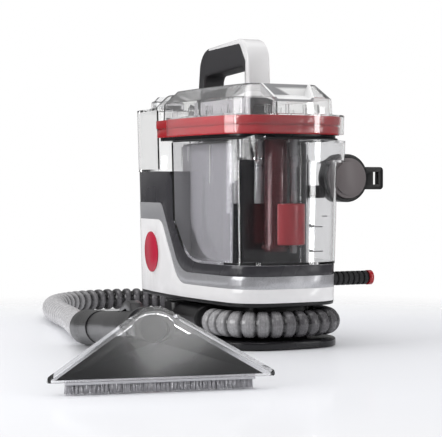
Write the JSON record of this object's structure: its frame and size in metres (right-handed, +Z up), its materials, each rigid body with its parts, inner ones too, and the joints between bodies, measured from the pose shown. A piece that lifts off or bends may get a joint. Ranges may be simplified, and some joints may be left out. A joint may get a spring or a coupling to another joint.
{
  "type": "spot extractor",
  "caption": "Portable wet carpet spot cleaner: clear tanks under a domed lid, carry handle, a hose wrapped round its waist and a hand tool with a clear suction nozzle.",
  "frame": {"origin": "centre of the machine's underside, on the floor", "axes": "+Z up, -Y towards the machine's front (the dirty tank's end), +X its right side"},
  "size_m": [0.4935, 0.7897, 0.33],
  "materials": {
    "white_shell": "satin moulded plastic",
    "silver_band": "metallic silver plastic",
    "dark_plastic": "dark grey moulded plastic",
    "black_plastic": "black moulded plastic",
    "red_plastic": "glossy deep red plastic",
    "red_mark": "glossy red disc",
    "clear_plastic": "clear moulded plastic",
    "tinted_clear": "smoky clear plastic",
    "grey_plastic": "mid grey plastic",
    "rubber": "soft black rubber",
    "steel": "plain steel",
    "copper_can": "grey painted steel",
    "hose_grey": "grey ribbed plastic",
    "bristle": "dark nylon tufts"
  },
  "bodies": {
    "machine": {"grip_mat": "rubber", "base_plate": "dark_plastic", "base_screws": "steel", "waist_drum": "black_plastic", "exhaust_grille": "dark_plastic", "hose_port": "black_plastic", "base_skirt": "dark_plastic", "lower_shell": "white_shell", "accent_band": "silver_band", "side_guard": "dark_plastic", "cord_bushing": "black_plastic", "badge": "red_mark", "tank_tray": "dark_plastic", "rear_deck": "dark_plastic", "motor_housing": "dark_plastic", "motor_can": "copper_can", "motor_bearings": "steel", "carry_handle": "dark_plastic", "handle_cover": "white_shell", "pump": "black_plastic", "supply_tube": "clear_plastic", "switch_box": "black_plastic", "tool_clip": "black_plastic", "clip_screws": "steel", "storage_post": "rubber", "post_cap": "red_plastic", "tool_cuff": "dark_plastic", "tool_handle": "dark_plastic", "trigger_pin": "steel", "spray_valve": "black_plastic", "tool_neck": "dark_plastic", "hose": "hose_grey"},
    "rotor": {"motor_shaft": "steel", "fan": "grey_plastic"},
    "dirty_tank": {"dirty_tank": "tinted_clear"},
    "lid": {"lid_gasket": "rubber", "lid_base": "dark_plastic", "lid_ring": "red_plastic", "lid_dome": "tinted_clear", "lid_grip": "grey_plastic", "standpipe": "tinted_clear", "guide_tube": "tinted_clear"},
    "float": {"float": "red_plastic"},
    "clean_tank": {"clean_tank": "clear_plastic", "cap_gasket": "rubber"},
    "tank_cap": {"tank_cap": "red_plastic"},
    "tank_valve": {"tank_valve": "black_plastic", "valve_spring": "steel"},
    "power_button": {"power_button": "red_plastic", "button_spring": "steel"},
    "stored_brush": {"stored_brush": "grey_plastic"},
    "trigger": {"trigger": "red_plastic", "trigger_spring": "steel"},
    "plunger": {"valve_plunger": "steel"},
    "nozzle": {"nozzle_cover": "tinted_clear", "nozzle_body": "black_plastic", "brush_strip": "bristle", "spray_tip": "red_plastic"}
  },
  "joints": [
    {"name": "fan_spin", "type": "hinge", "parent": "machine", "child": "rotor", "pos_m": [0, -0.026, 0.13], "axis": [0, 0, 1], "continuous": true},
    {"name": "dirty_tank_lift", "type": "slide", "parent": "machine", "child": "dirty_tank", "axis": [0, 0, 1], "range_m": [0, 0.25]},
    {"name": "lid_lift", "type": "slide", "parent": "dirty_tank", "child": "lid", "axis": [0, 0, 1], "range_m": [0, 0.13]},
    {"name": "float_rise", "type": "slide", "parent": "lid", "child": "float", "axis": [0, 0, 1], "range_m": [0, 0.037]},
    {"name": "clean_tank_lift", "type": "slide", "parent": "machine", "child": "clean_tank", "axis": [0, 0, 1], "range_m": [0, 0.16]},
    {"name": "cap_turn", "type": "hinge", "parent": "clean_tank", "child": "tank_cap", "pos_m": [-0.036, 0.098, 0.262], "axis": [0, 0, 1], "range_deg": [0, 90]},
    {"name": "valve_open", "type": "slide", "parent": "clean_tank", "child": "tank_valve", "axis": [0, 0, 1], "range_m": [0, 0.0035], "stiffness_N_per_m": 150, "springref_m": -0.004, "deforming": ["valve_spring"]},
    {"name": "power_button_press", "type": "slide", "parent": "machine", "child": "power_button", "axis": [0, -1, 0], "range_m": [0, 0.003], "stiffness_N_per_m": 300, "springref_m": -0.003, "deforming": ["button_spring"]},
    {"name": "stored_brush_slide", "type": "slide", "parent": "machine", "child": "stored_brush", "axis": [0, -1, 0], "range_m": [0, 0.06]},
    {"name": "trigger_press", "type": "hinge", "parent": "machine", "child": "trigger", "pos_m": [-0.22917, -0.26307, 0.05261], "axis": [-0.9799, 0.1994, 0], "range_deg": [0, 5], "stiffness_Nm_per_rad": 2, "springref_deg": -8.59, "deforming": ["trigger_spring"]},
    {"name": "plunger_push", "type": "slide", "parent": "machine", "child": "plunger", "axis": [-0.0181, -0.0888, -0.9959], "range_m": [0, 0.0036]},
    {"name": "nozzle_pull", "type": "slide", "parent": "machine", "child": "nozzle", "axis": [-0.1985, -0.9759, 0.0906], "range_m": [0, 0.05]}
  ],
  "couplings": [
    {"joint": "plunger_push", "follows": "trigger_press", "m_per_rad": 0.04}
  ]
}
